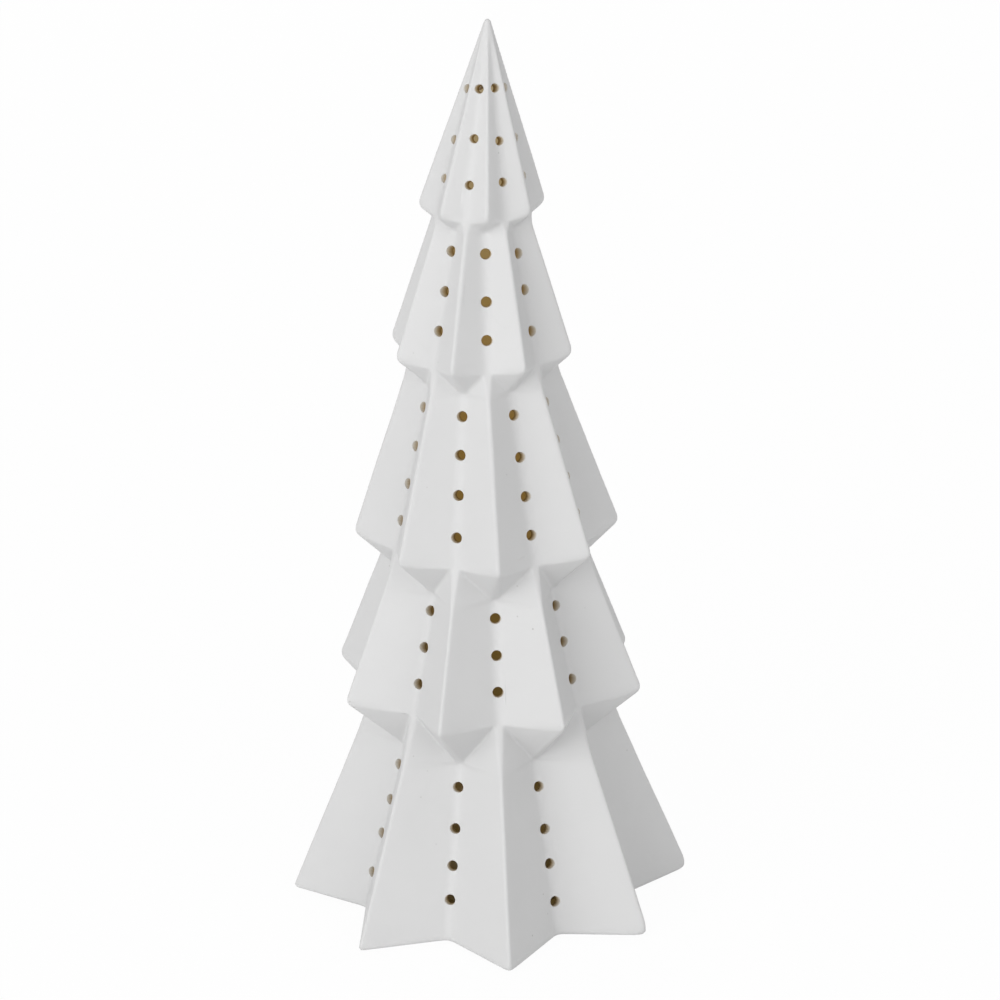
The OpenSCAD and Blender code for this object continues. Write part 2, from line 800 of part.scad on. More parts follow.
// Tapered coil along X from the plate to the flat end of a cell
coil_l = spring_l - 2 * wire_r - 2 * snug;
coil_route = [for (i = [0:spring_turns * ring_steps])
    let (t = i / (spring_turns * ring_steps),
         r = spring_low_r + (spring_top_r - spring_low_r) * t,
         a = 360 * i / ring_steps)
    [coil_l * t, r * cos(a), r * sin(a)]];
coil_gap = min([for (i = [0:(spring_turns - 1) * ring_steps],
                     j = [i + ring_steps / 2:spring_turns * ring_steps])
    norm(coil_route[i] - coil_route[j])]) - 2 * wire_r;
echo("Least gap between the turns of a contact spring", coil_gap);

module coil(side, y)
    translate([side * (bay_half_l - snug - contact_t), y, cell_z])
        mirror([side > 0 ? 1 : 0, 0, 0])
            translate([wire_r + snug, 0, 0])
                tube(coil_route, wire_r, wire_sides, [1, 0, 0]);

module contact_springs() {
    color(steel) {
        coil(-1, -cell_pitch);
        coil(1, 0);
        coil(-1, cell_pitch);
    }
}

module circuit_board() {
    color(board_green)
        difference() {
            block(board_l / 2, board_w / 2, board_z, board_top);
            board_screw_places()
                bar(board_screw_r + snug, board_z - over, board_top + over);
        }
}

module on_board(place)
    translate([place[0] * board_l, place[1] * board_w, board_top]) children();

module board_parts() {
    color(chip_black) {
        on_board(chip_place_share) block(chip_l / 2, chip_w / 2, 0, chip_h);
        on_board(capacitor_place_share) bar(capacitor_r, 0, capacitor_h);
        for (place = resistor_place_shares)
            on_board(place) block(resistor_l / 2, resistor_w / 2, 0, resistor_h);
    }
}

module board_screws() {
    color(steel)
        board_screw_places()
            screw_down(board_screw_r - snug / 2, board_screw_l, board_head_r, board_head_h,
                       board_top);
}

module slide_switch() {
    color(chip_black)
        translate([0, switch_y, 0])
            difference() {
                block(switch_l / 2, switch_w / 2, deck_z, deck_z + switch_h);
                block(switch_l / 2 - switch_skin, switch_w / 2 - switch_skin,
                      deck_z - over, deck_z + switch_h - switch_skin);
            }
}

module switch_knob() {
    color(chip_black)
        translate([0, switch_y, 0]) {
            block(shoe_l / 2, shoe_w / 2, deck_z + gap, deck_z + gap + shoe_h);
            block(stem_l / 2, stem_w / 2, module_z + dish_deep - knob_proud, deck_z + gap);
        }
}

module battery_leads() {
    color(lead_red)
        tube(tied(red_route, tab_end, board_end(red_route[len(red_route) - 1])),
             lead_r, lead_sides, [0, 0, 1]);
    color(lead_black)
        tube(tied(black_route, [-tab_end[0], -tab_end[1], tab_end[2]],
                  board_end(black_route[len(black_route) - 1])),
             lead_r, lead_sides, [0, 0, 1]);
}

module switch_leads() {
    start = [switch_route[0][0], switch_y, deck_z + switch_h + snug];
    color(lead_grey)
        mirrored_pair()
            tube(tied(switch_route, start, board_end(switch_route[len(switch_route) - 1])),
                 lead_r, lead_sides, [1, 0, 0]);
}

module lamp_leads() {
    x = lamp_route[0][0];
    color(lead_grey)
        mirrored_pair()
            tube(tied(lamp_route, board_end([x, 0]), [x, 0, lid_top - snug]),
                 lead_r, lead_sides, [1, 0, 0]);
}

module lamp_board() {
    color(board_green)
        difference() {
            bar(lamp_board_r, lid_top, lamp_z);
            four_corners(0, lamp_board_r) bar(lamp_board_t / 2, lid_top - over, lamp_z + over);
        }
}

module led_lamps() {
    color(lamp_amber)
        for (i = [0:lamp_count - 1])
            rotate([0, 0, i * 360 / lamp_count])
                translate([lamp_ring_r, 0, lamp_z]) {
                    bar(lamp_rim_r, 0, lamp_rim_h);
                    bar(lamp_r, 0, lamp_rim_h + lamp_body_h);
                    translate([0, 0, lamp_rim_h + lamp_body_h]) sphere(r = lamp_r);
                }
}

module diffuser_dome() {
    color(dome_white)
        translate([0, 0, lid_top])
            rotate_extrude()
                difference() {
                    dome_half(dome_r);
                    dome_half(dome_r - dome_t);
                }
}

module dome_half(r) {
    square([r, dome_skirt]);
    translate([0, dome_skirt])
        intersection() {
            circle(r = r);
            square([r, r]);
        }
}

ceramic_tree();
felt_pads();
battery_housing();
grip_ring();
housing_lid();
lid_screws();
battery_door();
door_screw_left();
door_screw_right();
battery_1();
battery_2();
battery_3();
negative_terminal();
positive_terminal();
bridge_contact_right();
bridge_contact_left();
contact_springs();
circuit_board();
board_parts();
board_screws();
slide_switch();
switch_knob();
battery_leads();
switch_leads();
lamp_leads();
lamp_board();
led_lamps();
diffuser_dome();
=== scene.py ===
"""Looks of a pierced bisque fir tree that stands over a battery light module.

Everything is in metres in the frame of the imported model. The tree's own sizes are given in millimetres,
as on the maker's drawing, and turned into metres by MM.
"""

from math import asin, atan, atan2, cos, hypot, pi, radians, sin

import bpy
import numpy as np
from mathutils import Matrix, Vector, noise
from mathutils.bvhtree import BVHTree


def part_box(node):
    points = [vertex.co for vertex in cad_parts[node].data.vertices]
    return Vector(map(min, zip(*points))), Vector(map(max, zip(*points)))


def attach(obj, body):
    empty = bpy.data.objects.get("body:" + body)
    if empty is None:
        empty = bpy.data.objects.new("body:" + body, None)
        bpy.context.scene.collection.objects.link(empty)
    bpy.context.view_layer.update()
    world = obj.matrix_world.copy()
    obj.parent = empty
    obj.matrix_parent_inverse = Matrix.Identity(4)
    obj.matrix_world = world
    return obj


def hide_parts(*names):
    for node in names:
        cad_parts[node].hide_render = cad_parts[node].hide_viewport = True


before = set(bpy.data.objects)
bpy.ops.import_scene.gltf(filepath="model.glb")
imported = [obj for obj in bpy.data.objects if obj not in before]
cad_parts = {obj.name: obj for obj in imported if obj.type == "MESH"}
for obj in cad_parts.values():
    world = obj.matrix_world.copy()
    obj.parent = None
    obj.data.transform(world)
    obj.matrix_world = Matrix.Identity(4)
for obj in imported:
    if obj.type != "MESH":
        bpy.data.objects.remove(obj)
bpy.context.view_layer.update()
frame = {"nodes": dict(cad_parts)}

MM = 0.001
nodes = frame["nodes"]
scene = bpy.context.scene

# Tree, from the tip down: heights of the tiers, radii over their points and into their folds,
# and how far each undercut drops to the neck below it
TIER_H = (59.5, 47.5, 63, 52.5, 77.5)
POINT_R = (21, 31.4, 44.5, 53.7, 68.8)
FOLD_R = (15.5, 22.4, 32.6, 36.9, 48.3)
NECK_DROP = (6, 10.5, 15.5, 19.5)
STAR_POINTS = 8
HALF_STEP = pi / STAR_POINTS
LAST_TIER = len(TIER_H) - 1
TIER_Z = tuple(sum(TIER_H[k + 1:]) for k in range(len(TIER_H)))
TREE_H = sum(TIER_H)

# Wall, and how far the inner corners lie in from the outer ones, as shares of it
WALL_T = 3
POINT_IN_SHARE = 1.6
FOLD_IN_SHARE = 1.1
NECK_IN_SHARE = 1.15
LIFT_SHARE = 0.3

# Rounding of the tip, of the points, of ridges and folds, and of the standing edge, and how far the
# middle of the cast stands to the right at the tip and at the points of each tier, as shares of the wall
TIP_R = 1.4
POINT_ROUND = 2.2
RIDGE_ROUND = 1.2
FOLD_ROUND = 2.3
FOOT_ROUND = 2.2
LEAN_SHARES = (0.8, -0.05, -0.35, 0, 0, 0)

# How far apart the points of a rounded eave lie along the fold beside it
SEAM_STEP = 1

# A rounding takes up no more than this share of the side beside it; points along each kind of rounding
CORNER_SHARE = 0.35
CORNER_STEPS = 4
POINT_STEPS = 5
TIP_RINGS = 5

# Base: height of the pads, recess and floor, radii of the recess and of the floor's opening, sides
# of both, and how far their cutters stand past the cast
PAD_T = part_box("felt_pads")[1].z / MM
RECESS_H = 3
FLOOR_T = 4
RECESS_R = 44
OPENING_R = 35.8
BASE_SIDES = 128
OVER = 1

# Light holes: diameters, rows in each fold, height of the lowest row and pitch as shares of the
# tier's height, and how far three neighbours in a row wander, as a share of the diameter
HOLE_D = 3.6
TOP_HOLE_D = 3
HOLE_ROWS = (3, 3, 4, 3, 4)
ROW_UP_SHARE = (0.163, 0.185, 0.124, 0.154, 0.17)
ROW_PITCH_SHARE = (0.242, 0.273, 0.2, 0.227, 0.16)
WANDER_SHARES = (
    ((0.05, 0, -0.15), (-0.55, -0.75, -0.25), (0, -0.25, -0.05)),
    ((-0.2, 0.25, -0.05), (-0.5, 0.1, 0), (0, 0, -0.4)),
    ((-0.15, -0.05, -0.1), (-0.25, -0.15, 0.1), (-0.3, -0.2, 0.1), (-0.1, -0.15, -0.05)),
    ((-0.05, -0.15, -0.35), (-0.15, -0.15, -0.2), (-0.2, -0.15, -0.2)),
    ((-0.45, 0, 0.2), (-0.45, 0.35, -0.2), (-0.75, 0.15, -0.3), (-0.35, 0.1, -0.05)))
NEIGHBOURS = 3

# Zones of the tree's faces
OUTSIDE, BORE, HOLLOW = 0, 1, 2

# Drills: how far in from the fold they start as a share of the wall, their sides, how much they widen
# per millimetre outwards, and how far outside its fold line the rounded skin lies
BORE_IN_SHARE = 1.7
HOLE_SIDES = 40
BORE_TAPER_SHARE = 0.08
FOLD_OUT = 0.6

# Camera: solved from the photograph's outline and light holes, in millimetres and degrees, and the
# nearest and furthest that it sees, in metres
CAMERA_FAR = 1031.4
CAMERA_UP = 537.8
CAMERA_ROUND = 4.636
CAMERA_TURN = 0.247
CAMERA_DOWN = 21.143
CAMERA_ROLL = 0.704
CAMERA_LENS = 121
CAMERA_SENSOR = 36
CAMERA_NEAREST, CAMERA_FURTHEST = 0.01, 50


def place_camera():
    """A long lens at the photograph's distance; the front ridge stands a little right of it."""
    heading = radians(CAMERA_ROUND + CAMERA_TURN)
    down, roll = radians(CAMERA_DOWN), radians(CAMERA_ROLL)
    ahead = Vector((cos(down) * sin(heading), cos(down) * cos(heading), -sin(down)))
    right = Vector((cos(heading), -sin(heading), 0))
    up = right.cross(ahead)
    tilted_right = cos(roll) * right - sin(roll) * up
    tilted_up = sin(roll) * right + cos(roll) * up
    data = bpy.data.cameras.new("photo_camera")
    data.lens = CAMERA_LENS
    data.sensor_width = CAMERA_SENSOR
    data.clip_start, data.clip_end = CAMERA_NEAREST, CAMERA_FURTHEST
    camera = bpy.data.objects.new("photo_camera", data)
    scene.collection.objects.link(camera)
    turn = Matrix((tilted_right, tilted_up, -ahead)).transposed().to_4x4()
    round_by = radians(CAMERA_ROUND)
    place = Vector((-CAMERA_FAR * sin(round_by), -CAMERA_FAR * cos(round_by), CAMERA_UP + PAD_T)) * MM
    camera.matrix_world = Matrix.Translation(place) @ turn
    scene.camera = camera


# Shader maths

class Socket:
    """An output socket that takes part in sums, each of which adds one Math node."""

    def __init__(self, nodes, output):
        self.nodes, self.output = nodes, output

    def maths(self, operation, *values):
        made = self.nodes.add("ShaderNodeMath", {"operation": operation}, **{
            f"in{i}": value for i, value in enumerate(values)})
        return self.nodes.out(made)

    def __add__(self, other):
        return self.maths("ADD", self, other)

    def __sub__(self, other):
        return self.maths("SUBTRACT", self, other)

    def __mul__(self, other):
        return self.maths("MULTIPLY", self, other)

    def __truediv__(self, other):
        return self.maths("DIVIDE", self, other)

    def __radd__(self, other):
        return self.maths("ADD", other, self)

    def __rsub__(self, other):
        return self.maths("SUBTRACT", other, self)

    def __rmul__(self, other):
        return self.maths("MULTIPLY", other, self)

    def clamped(self):
        """Held between 0 and 1."""
        return self.maths("MINIMUM", self.maths("MAXIMUM", self, 0), 1)


class Nodes:
    """The nodes of a material or of the world, all of them added by the same method."""

    def __init__(self, tree):
        self.tree = tree
        tree.nodes.clear()

    def add(self, kind, settings, **sockets):
        """A node of a kind: its settings first, then the values or links of its sockets."""
        made = self.tree.nodes.new(kind)
        for name, value in settings.items():
            if name == "stops":
                self.set_stops(made.color_ramp, value)
            else:
                setattr(made, name, value)
        for name, value in sockets.items():
            key = int(name[2:]) if name[:2] == "in" and name[2:].isdigit() else name.replace("_", " ")
            if isinstance(value, Socket):
                self.tree.links.new(value.output, made.inputs[key])
            else:
                made.inputs[key].default_value = value
        return made

    @staticmethod
    def set_stops(ramp, stops):
        """Places a ramp's colours: each stop is a place and a colour."""
        while len(ramp.elements) < len(stops):
            ramp.elements.new(1)
        for element, (place, tone) in zip(ramp.elements, stops):
            element.position, element.color = place, tone

    def out(self, made, name=0):
        return Socket(self, made.outputs[name])

    def seen(self):
        """1 for a ray that shows the background: from the camera, mirrored by metal or let through glass."""
        rays = self.add("ShaderNodeLightPath", {})
        mirrored_or_through = self.out(rays, "Is Glossy Ray") + self.out(rays, "Is Transmission Ray")
        return (self.out(rays, "Is Camera Ray") + mirrored_or_through).clamped()


class Finish(Nodes):
    """One material, with a Principled shader."""

    def __init__(self, name, **constants):
        self.material = bpy.data.materials.new(name)
        self.material.use_nodes = True
        super().__init__(self.material.node_tree)
        self.shader = self.add("ShaderNodeBsdfPrincipled", {}, **constants)
        self.end = self.add("ShaderNodeOutputMaterial", {}, Surface=self.out(self.shader))
        self.place = self.out(self.add("ShaderNodeTexCoord", {}), "Object")

    def drive(self, **sockets):
        """Links what varies over the surface into the shader."""
        for name, value in sockets.items():
            self.tree.links.new(value.output, self.shader.inputs[name.replace("_", " ")])

    def noise(self, scale, detail=3, roughness=0.5):
        made = self.add("ShaderNodeTexNoise", {}, Vector=self.place, Scale=scale, Detail=detail,
                        Roughness=roughness)
        return self.out(made, "Fac")

    def spots(self, scale, jitter=1):
        """Distance to the nearest of many scattered spots."""
        made = self.add("ShaderNodeTexVoronoi", {}, Vector=self.place, Scale=scale, Randomness=jitter)
        return self.out(made, "Distance")

    def ramp(self, value, *stops):
        """A colour that changes with a value, from stop to stop."""
        return self.out(self.add("ShaderNodeValToRGB", {"stops": stops}, Fac=value), "Color")

    def step(self, value, low, high):
        """0 below low, 1 above high and smooth between them."""
        made = self.add("ShaderNodeMapRange", {"interpolation_type": "SMOOTHSTEP"}, Value=value,
                        From_Min=low, From_Max=high)
        return self.out(made)

    def mix(self, share, first, second):
        """A colour between two others."""
        made = self.add("ShaderNodeMix", {"data_type": "RGBA"}, in0=share, in6=first, in7=second)
        return self.out(made, 2)

    def bump(self, height, strength, distance):
        made = self.add("ShaderNodeBump", {}, Height=height, Strength=strength, Distance=distance)
        return self.out(made)


def colour(red, green, blue):
    """Linear colour, with alpha, from the 0 to 255 numbers of a colour chart."""
    def linear(c):
        c /= 255
        return c / 12.92 if c <= 0.04045 else ((c + 0.055) / 1.055) ** 2.4
    return (linear(red), linear(green), linear(blue), 1)


# Finishes: the depth down a bore, in millimetres, over which painted shade darkens the bare wall of the bore
BORE_SHADE_DEPTH = 3.2


def bisque():
    """Matt white porcelain outside, unglazed bores that painted shade darkens downwards, and a hollow inside
    lit warm by a painted glow.

    The mesh carries the zone of each face, and how deep each point lies under the outer skin, in
    millimetres. Near the tip the shell is narrow, and there painted light keeps the bores paler."""
    f = Finish("white_bisque", Roughness=0.62, Specular_IOR_Level=0.35, Emission_Strength=1)
    deep = f.out(f.add("ShaderNodeAttribute", {"attribute_name": "depth_mm"}), "Fac")
    zone = f.out(f.add("ShaderNodeAttribute", {"attribute_name": "zone"}), "Fac")
    height = f.out(f.add("ShaderNodeSeparateXYZ", {}, Vector=f.place), "Z") / (TREE_H * MM)
    cloud = f.noise(18, 4, 0.6)
    fine = f.noise(900, 2, 0.6)
    pits = f.step(f.spots(230), 0.03, 0.1)
    rare = f.step(f.noise(60, 1), 0.62, 0.66)
    pinhole = (1 - pits) * rare
    outside = f.mix(cloud, colour(199, 199, 199), colour(206, 206, 206))
    outside = f.mix(pinhole * 0.5, outside, colour(130, 128, 124))
    # Painted shade: the bare bore walls darken with depth, where shade falls down the bores; near the tip
    # painted light keeps them paler
    shade_share = deep / BORE_SHADE_DEPTH
    shaded_bore = f.ramp(shade_share, (0.1, colour(216, 212, 204)), (0.5, colour(184, 168, 140)),
                 (0.8, colour(142, 120, 80)), (0.95, colour(84, 66, 34)))
    warm = f.ramp(shade_share, (0.1, colour(218, 214, 206)), (0.5, colour(200, 182, 146)),
                  (0.8, colour(176, 150, 102)), (0.95, colour(158, 130, 80)))
    painted_bore_shade = f.mix(f.step(height, 0.3, 0.9), shaded_bore, warm)
    hollow = f.mix(cloud, colour(146, 138, 118), colour(156, 148, 128))
    drilled = zone.maths("GREATER_THAN", zone, (OUTSIDE + BORE) / 2)
    inside = zone.maths("GREATER_THAN", zone, (BORE + HOLLOW) / 2)
    base = f.mix(inside, f.mix(drilled, outside, painted_bore_shade), hollow)
    # Painted warm glow: the walls of the hollow emit light, brighter towards the tip, standing for the light
    # module's light inside
    painted_glow = f.ramp(height, (0.12, (0.046, 0.031, 0.01, 1)), (0.32, (0.09, 0.056, 0.014, 1)),
                  (0.52, (0.135, 0.082, 0.022, 1)), (0.7, (0.165, 0.112, 0.04, 1)),
                  (0.9, (0.23, 0.185, 0.11, 1)))
    light = f.mix(inside, (0, 0, 0, 1), painted_glow)
    grain = fine * 0.35 + cloud * 0.4 + pits * rare * 0.8
    f.drive(Base_Color=base, Emission_Color=light, Roughness=0.56 + cloud * 0.12,
            Normal=f.bump(grain, 0.12, 0.0004))
    return f.material


def moulded(name, first, second, roughness, grain, depth):
    """Moulded plastic or rubber with the fine texture of its tool."""
    f = Finish(name, Specular_IOR_Level=0.45)
    cloud = f.noise(40, 3, 0.6)
    skin = f.noise(grain, 3, 0.65)
    f.drive(Base_Color=f.mix(cloud, first, second), Roughness=roughness + skin * 0.15,
            Normal=f.bump(skin, 0.3, depth))
    return f.material


def felt():
    """Pressed wool: two crossing scales of fibre, with darker and paler hairs."""
    f = Finish("pad_felt", Specular_IOR_Level=0.1, Sheen_Weight=0.4, Sheen_Roughness=0.5)
    wool = f.noise(1400, 5, 0.75)
    clumps = f.noise(350, 3, 0.6)
    tone = f.mix(wool, colour(176, 174, 168), colour(222, 219, 212))
    f.drive(Base_Color=f.mix(clumps * 0.4, tone, colour(196, 192, 184)), Roughness=0.85 + wool * 0.1,
            Normal=f.bump(wool + clumps, 0.7, 0.0003))
    return f.material


def plated(name, first, second, roughness):
    """Plated steel with fine scratches."""
    f = Finish(name, Metallic=1)
    scratch = f.noise(700, 4, 0.7)
    cloud = f.noise(90, 2)
    f.drive(Base_Color=f.mix(cloud, first, second), Roughness=roughness + scratch * 0.18,
            Normal=f.bump(scratch, 0.15, 0.00005))
    return f.material


def cell_sleeve():
    """Silver-grey shrink sleeve of a dry cell, rubbed a little."""
    f = Finish("cell_sleeve", Metallic=0.55, Specular_IOR_Level=0.5, Coat_Weight=0.3)
    cloud = f.noise(120, 3)
    rub = f.noise(600, 3, 0.7)
    f.drive(Base_Color=f.mix(cloud, colour(150, 158, 164), colour(172, 178, 182)),
            Roughness=0.28 + rub * 0.15, Normal=f.bump(rub, 0.1, 0.00005))
    return f.material


def solder_mask():
    """Green board with its copper pads just showing under the mask."""
    f = Finish("solder_mask", Specular_IOR_Level=0.5, Coat_Weight=0.4, Coat_Roughness=0.15)
    copper = f.step(f.spots(420, 0.3), 0.38, 0.44)
    f.drive(Base_Color=f.mix(copper, colour(24, 92, 52), colour(40, 118, 70)),
            Roughness=0.3 + copper * 0.1, Normal=f.bump(copper, 0.3, 0.00003))
    return f.material


def lamp_resin():
    """Clear epoxy over a phosphor, with a warm tint."""
    f = Finish("lamp_resin", Specular_IOR_Level=0.5, Coat_Weight=0.6, Emission_Strength=0.2)
    cloud = f.noise(300, 2)
    tint = f.mix(cloud, colour(236, 214, 150), colour(246, 230, 180))
    f.drive(Base_Color=tint, Emission_Color=tint, Roughness=0.12 + cloud * 0.1)
    return f.material


def frosted():
    """Sand-blasted milky plastic of the dome."""
    f = Finish("frosted_dome", Specular_IOR_Level=0.4, Subsurface_Weight=0.2, Subsurface_Scale=0.002)
    blast = f.noise(1100, 3, 0.7)
    cloud = f.noise(60, 2)
    f.drive(Base_Color=f.mix(cloud, colour(232, 230, 222), colour(240, 238, 232)),
            Roughness=0.5 + blast * 0.2, Normal=f.bump(blast, 0.3, 0.00006))
    return f.material


# Skin of the tree, as rings of corners (radius, level above the standing edge)

def at_level(start, end, level):
    """The corner at a level on the line through two others."""
    share = (level - start[1]) / (end[1] - start[1])
    return (start[0] + (end[0] - start[0]) * share, level)


def toward(start, end, distance):
    """The place a distance along the way from start to end."""
    start, end = np.array(start, float), np.array(end, float)
    return start + (end - start) * (distance / np.linalg.norm(end - start))


def rounded(corner, before, after, reach, steps):
    """A corner between two others, rounded over a reach, as points on a curve."""
    corner = np.array(corner, float)
    first, last = toward(corner, before, reach), toward(corner, after, reach)
    shares = [i / steps for i in range(steps + 1)]
    return [(1 - t) ** 2 * first + 2 * t * (1 - t) * corner + t * t * last for t in shares]


# Round tip: how high the middle of its ball lies over the first points, how far the ridges lean from
# upright, and the corner in which they would meet
TIP_BALL_H = TIER_H[0] - TIP_R
TIP_SLOPE = atan(POINT_R[0] / TIP_BALL_H) - asin(TIP_R / hypot(POINT_R[0], TIP_BALL_H))
APEX = (0, TREE_H - TIP_R + TIP_R / sin(TIP_SLOPE))


def point_at(k):
    """The corner over the points of tier k."""
    return (POINT_R[k], TIER_Z[k])


def fold_at(k):
    """The corner in the folds of tier k, level with its points."""
    return (FOLD_R[k], TIER_Z[k])


def neck_at(k):
    """The corner in which the undercut of tier k meets the folds of the tier below."""
    level = TIER_Z[k] - NECK_DROP[k]
    ridge = at_level(fold_at(k), point_at(k + 1), level)
    return (ridge[0] * FOLD_R[k + 1] / POINT_R[k + 1], level)


def ridge_top(k):
    """The corner in which the ridges of tier k start."""
    return APEX if k == 0 else fold_at(k - 1)


def fold_top(k):
    """The corner in which the folds of tier k start."""
    return APEX if k == 0 else neck_at(k - 1)


def seam_at(k, step):
    """The fold of tier k beside its rounded points, a little up or down the seam."""
    away = SEAM_STEP * (step - POINT_STEPS / 2)
    if away < 0:
        return toward(fold_at(k), fold_top(k), -away)
    return toward(fold_at(k), point_at(k + 1), away)


def lean_at(level):
    """How far the middle of the cast stands to the right at a level."""
    levels = (TREE_H,) + TIER_Z
    return WALL_T * float(np.interp(level, levels[::-1], LEAN_SHARES[::-1]))


def spot(corner, number):
    """A corner in space: the front ridge of the bottom tier, number 0, points to -Y."""
    radius, level = corner
    angle = number * HALF_STEP
    return np.array((radius * sin(angle) + lean_at(level), -radius * cos(angle), level + PAD_T))


def ring(k, corners, reaches, steps):
    """One closed loop of tier k, from its corners over the points and into the folds and their reaches.

    A tier has its points on even numbers when k is even."""
    loop = []
    for number in range(2 * STAR_POINTS):
        own = (number + k) % 2
        corner = spot(corners[own], number)
        before, after = spot(corners[1 - own], number - 1), spot(corners[1 - own], number + 1)
        most = CORNER_SHARE * np.linalg.norm(before - corner)
        loop += rounded(corner, before, after, min(reaches[own], most), steps)
    return loop


def ridge_to_fold(share):
    """The reach at a share of the way from a ridge into a fold, or back."""
    return RIDGE_ROUND + (FOLD_ROUND - RIDGE_ROUND) * share


def outer_rings():
    """The outer skin: the round tip, then the eave of each tier and the undercut below it, and the foot."""
    rings = []
    for i in range(1, TIP_RINGS + 1):
        lean = pi / 2 - (pi / 2 - TIP_SLOPE) * i / TIP_RINGS
        radius, level = TIP_R * cos(lean), TREE_H - TIP_R + TIP_R * sin(lean)
        fold_share = 1 - (1 - FOLD_R[0] / POINT_R[0]) * i / TIP_RINGS
        corners = ((radius, level), (radius * fold_share, level))
        rings.append(ring(0, corners, (RIDGE_ROUND, FOLD_ROUND), CORNER_STEPS))
    for k in range(LAST_TIER):
        row = rounded(point_at(k), ridge_top(k), neck_at(k), POINT_ROUND, POINT_STEPS)
        for step, corner in enumerate(row):
            reaches = (RIDGE_ROUND, ridge_to_fold(1 - step / POINT_STEPS))
            rings.append(ring(k, (corner, seam_at(k, step)), reaches, CORNER_STEPS))
        row = rounded(neck_at(k), point_at(k), fold_at(k + 1), RIDGE_ROUND, CORNER_STEPS)
        for step, corner in enumerate(row):
            beside = at_level(fold_at(k), point_at(k + 1), corner[1])
            reaches = (ridge_to_fold(step / CORNER_STEPS), RIDGE_ROUND)
            rings.append(ring(k, (corner, beside), reaches, CORNER_STEPS))
    k = LAST_TIER
    points = rounded(point_at(k), ridge_top(k), (0, 0), FOOT_ROUND, CORNER_STEPS)
    folds = rounded(fold_at(k), fold_top(k), (0, 0), FOOT_ROUND, CORNER_STEPS)
    rings += [ring(k, corners, (RIDGE_ROUND, FOLD_ROUND), CORNER_STEPS) for corners in zip(points, folds)]
    return rings


def point_in(k):
    """The inner corner behind the points of tier k."""
    return (POINT_R[k] - POINT_IN_SHARE * WALL_T, TIER_Z[k] + LIFT_SHARE * WALL_T)


def fold_in(k):
    """The inner corner behind the folds of tier k."""
    return (FOLD_R[k] - FOLD_IN_SHARE * WALL_T, TIER_Z[k])


def neck_in(k):
    """The inner corner behind the neck below tier k."""
    radius, level = neck_at(k)
    return (radius - NECK_IN_SHARE * WALL_T, level + LIFT_SHARE * WALL_T)


# Levels of the tip and the floor of the hollow
INNER_TIP = TIER_Z[0] + (APEX[1] - TIER_Z[0]) * (1 - POINT_IN_SHARE * WALL_T / POINT_R[0])
INNER_FLOOR = RECESS_H + FLOOR_T


def inner_rings():
    """The skin of the hollow, which follows the outer one a wall further in."""
    rings, reaches = [], (WALL_T, WALL_T)
    for k in range(LAST_TIER):
        rings.append(ring(k, (point_in(k), fold_in(k)), reaches, CORNER_STEPS))
        beside = at_level(fold_in(k), point_in(k + 1), neck_in(k)[1])
        rings.append(ring(k, (neck_in(k), beside), reaches, CORNER_STEPS))
    k = LAST_TIER
    corners = (at_level(fold_in(k - 1), point_in(k), INNER_FLOOR),
               at_level(neck_in(k - 1), fold_in(k), INNER_FLOOR))
    return rings + [ring(k, corners, reaches, CORNER_STEPS)]


def skin_mesh(name, top, rings, bottom):
    """A closed mesh over the rings, from the level of its top to the level of its bottom."""
    count = len(rings[0])
    verts = [(lean_at(top), 0, top + PAD_T)] + [p for r in rings for p in r] + [(0, 0, bottom + PAD_T)]
    faces = [(0, 1 + j, 1 + (j + 1) % count) for j in range(count)]
    for i in range(len(rings) - 1):
        for j in range(count):
            a, b = 1 + i * count + j, 1 + i * count + (j + 1) % count
            c, d = b + count, a + count
            quad = [np.array(verts[n]) for n in (a, b, c, d)]
            shorter_ac = np.linalg.norm(quad[0] - quad[2]) < np.linalg.norm(quad[1] - quad[3])
            faces += [(a, c, b), (a, d, c)] if shorter_ac else [(a, d, b), (b, d, c)]
    last = 1 + (len(rings) - 1) * count
    end = len(verts) - 1
    faces += [(end, last + (j + 1) % count, last + j) for j in range(count)]
    return new_object(name, [Vector(v) * MM for v in verts], faces)


def new_object(name, verts, faces):
    """A mesh object in the scene, from places in metres."""
    mesh = bpy.data.meshes.new(name)
    mesh.from_pydata([tuple(v) for v in verts], [], faces)
    mesh.update()
    made = bpy.data.objects.new(name, mesh)
    scene.collection.objects.link(made)
    return made


def rod(start, along, radii, sides):
    """Vertices and faces of a closed rod, with a radius at each end. All of it is in metres."""
    across = along.orthogonal().normalized()
    other = along.cross(across).normalized()
    verts = []
    for end, radius in zip((start, start + along), radii):
        for j in range(sides):
            angle = 2 * pi * j / sides
            verts.append(end + radius * (cos(angle) * across + sin(angle) * other))
    faces = [(j, (j + 1) % sides, sides + (j + 1) % sides, sides + j) for j in range(sides)]
    faces += [tuple(range(sides - 1, -1, -1)), tuple(range(sides, 2 * sides))]
    return verts, faces


def join_rods(name, rods):
    """One object of several closed meshes, each given as vertices and faces."""
    verts, faces = [], []
    for rod_verts, rod_faces in rods:
        first = len(verts)
        verts += rod_verts
        faces += [tuple(first + v for v in f) for f in rod_faces]
    return new_object(name, verts, faces)


